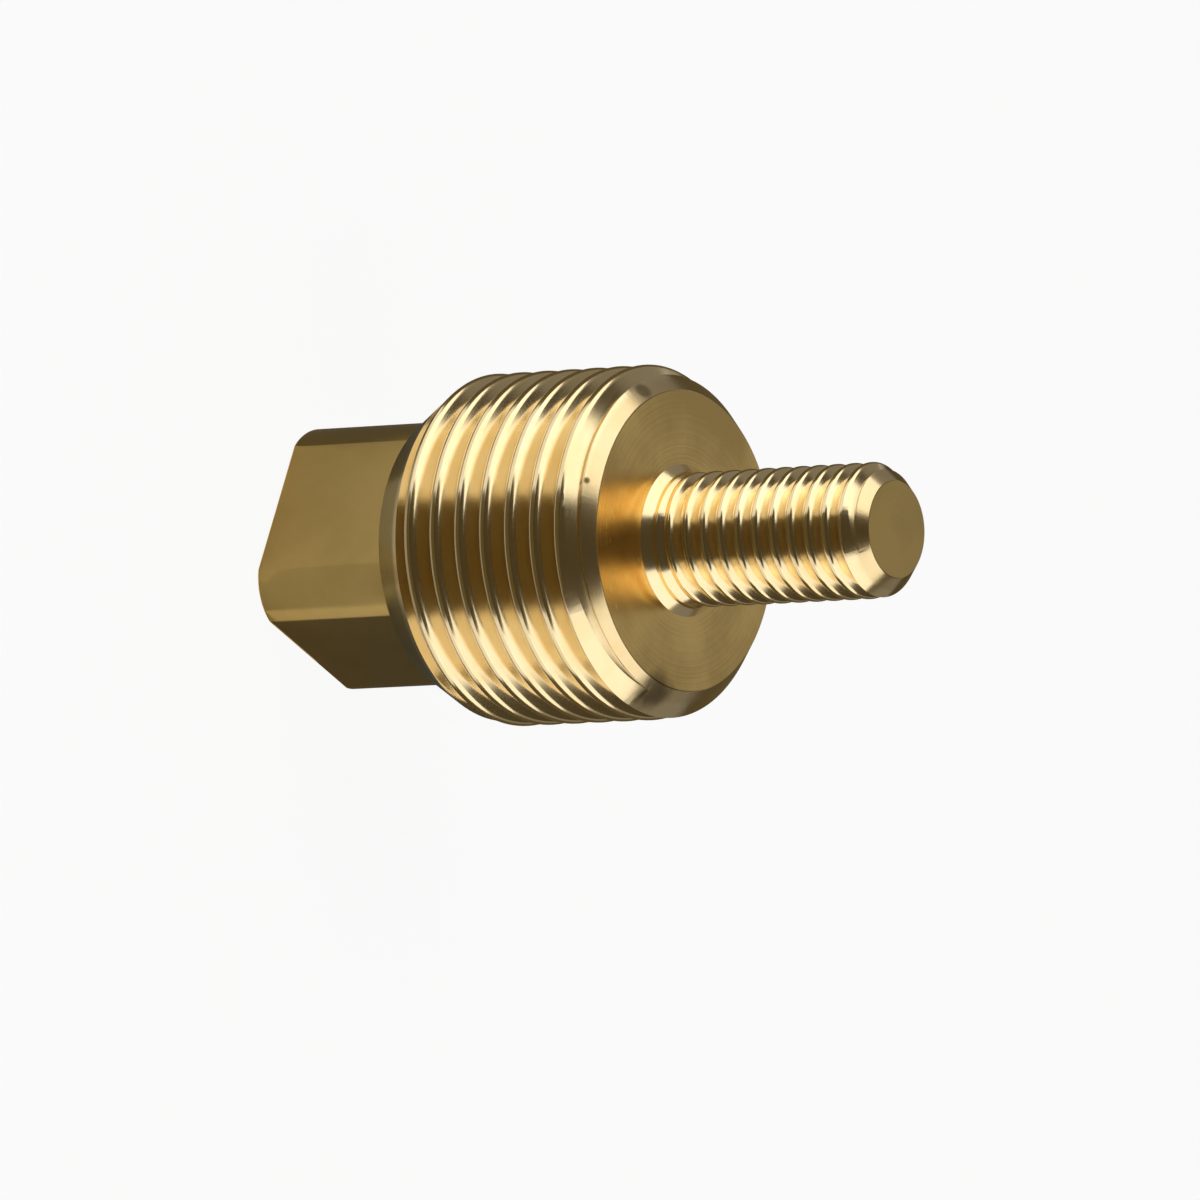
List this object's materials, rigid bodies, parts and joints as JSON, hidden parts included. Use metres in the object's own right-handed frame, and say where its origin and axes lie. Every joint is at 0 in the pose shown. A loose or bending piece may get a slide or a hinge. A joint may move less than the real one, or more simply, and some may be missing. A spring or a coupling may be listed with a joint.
{
  "type": "threaded plug",
  "caption": "Turned brass plug with a square wrench head, a parallel pipe-thread body and a slim threaded stud that carries an anode rod on its front face.",
  "frame": {"origin": "centre of the square head's end face, which the plug stands on", "axes": "+Z along the plug's axis from the head towards the stud's tip, X and Y square to the head's flats"},
  "size_m": [0.021, 0.021, 0.041],
  "materials": {
    "brass": "bright machined, bare"
  },
  "bodies": {
    "root": {"plug": "brass"}
  },
  "joints": []
}
